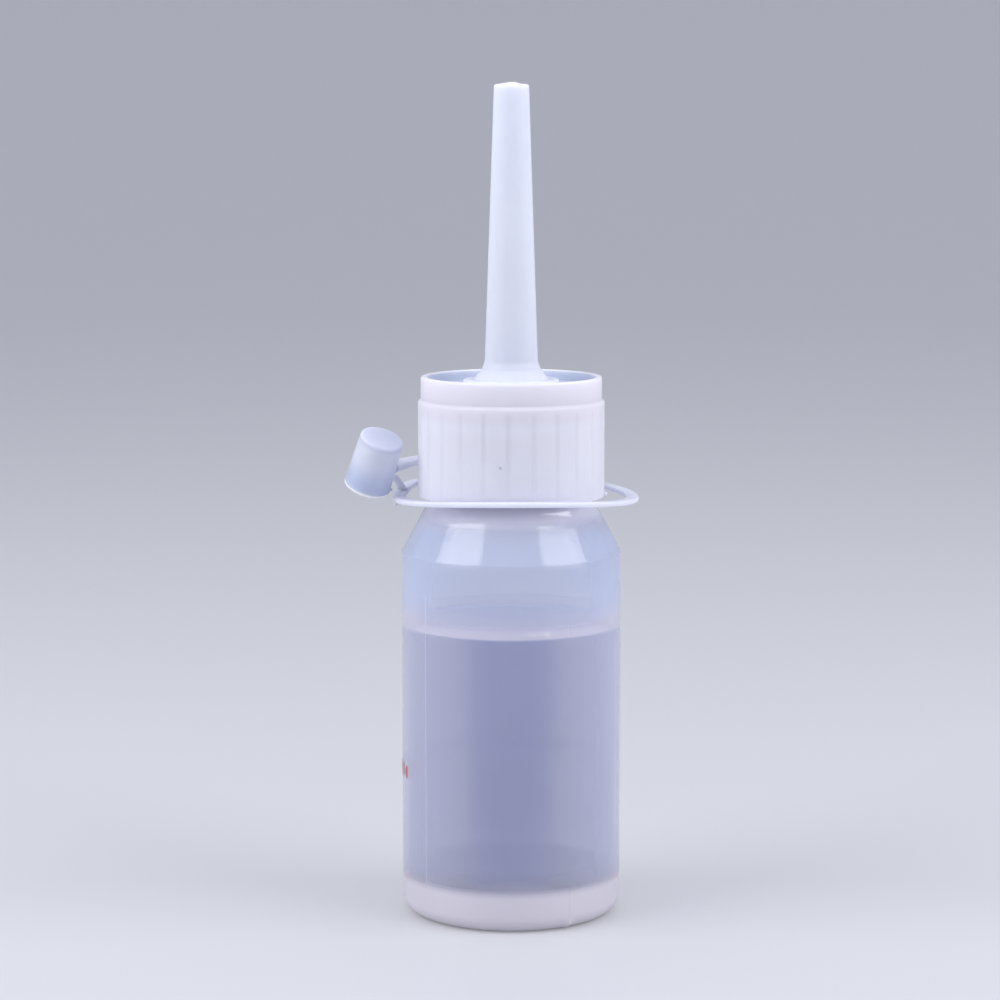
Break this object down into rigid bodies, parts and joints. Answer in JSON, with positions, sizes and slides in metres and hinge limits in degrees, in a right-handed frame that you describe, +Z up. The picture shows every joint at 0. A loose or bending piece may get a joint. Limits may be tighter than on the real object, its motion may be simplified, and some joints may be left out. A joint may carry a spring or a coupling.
{
  "type": "glue applicator bottle",
  "caption": "Squeeze bottle for liquid glue with a screw cap, a long push-in nozzle and a small tip cap tethered by a moulded strap.",
  "frame": {"origin": "centre of the bottle's flat base, on its axis, where it stands", "axes": "+Z up the bottle's axis to the nozzle tip; -Y towards the viewer; the tip cap hangs on the -X side"},
  "size_m": [0.0426, 0.0362, 0.1201],
  "materials": {
    "milky_plastic": "translucent blow-moulded polyethylene, satin",
    "clear_glue": "clear thin liquid",
    "clear_film": "clear film label, glossy",
    "natural_plastic": "natural injection-moulded polyethylene, satin",
    "cap_plastic": "natural injection-moulded polyethylene, satin",
    "tether_plastic": "natural injection-moulded polyethylene, satin",
    "tip_cap_plastic": "thin-walled natural polyethylene, satin"
  },
  "bodies": {
    "bottle": {"bottle_body": "milky_plastic", "glue_fill": "clear_glue", "label": "clear_film"},
    "nozzle": {"nozzle": "natural_plastic"},
    "screw_cap": {"screw_cap": "cap_plastic", "tether_ring": "tether_plastic", "tether_tie": "tether_plastic"},
    "tether_strap": {"tether_strap": "tether_plastic"},
    "tip_cap": {"tip_cap": "tip_cap_plastic"}
  },
  "joints": [
    {"name": "closure_lift", "type": "slide", "parent": "bottle", "child": "nozzle", "axis": [0, 0, 1], "range_m": [0, 0.0048]},
    {"name": "closure_turn", "type": "hinge", "parent": "nozzle", "child": "screw_cap", "pos_m": [0, 0, 0.0782], "axis": [0, 0, 1], "range_deg": [0, 540]},
    {"name": "strap_flex", "type": "hinge", "parent": "screw_cap", "child": "tether_strap", "pos_m": [0.0145, 0.01217, 0.06215], "axis": [0.766, 0.6428, 0], "range_deg": [0, 15], "stiffness_Nm_per_rad": 0.01},
    {"name": "tip_cap_flex", "type": "hinge", "parent": "tether_strap", "child": "tip_cap", "pos_m": [-0.01655, 0.0016, 0.0648], "axis": [1, 0, 0], "range_deg": [-30, 30], "stiffness_Nm_per_rad": 0.005}
  ],
  "couplings": [
    {"joint": "closure_lift", "follows": "closure_turn", "m_per_rad": 0.00050532}
  ]
}
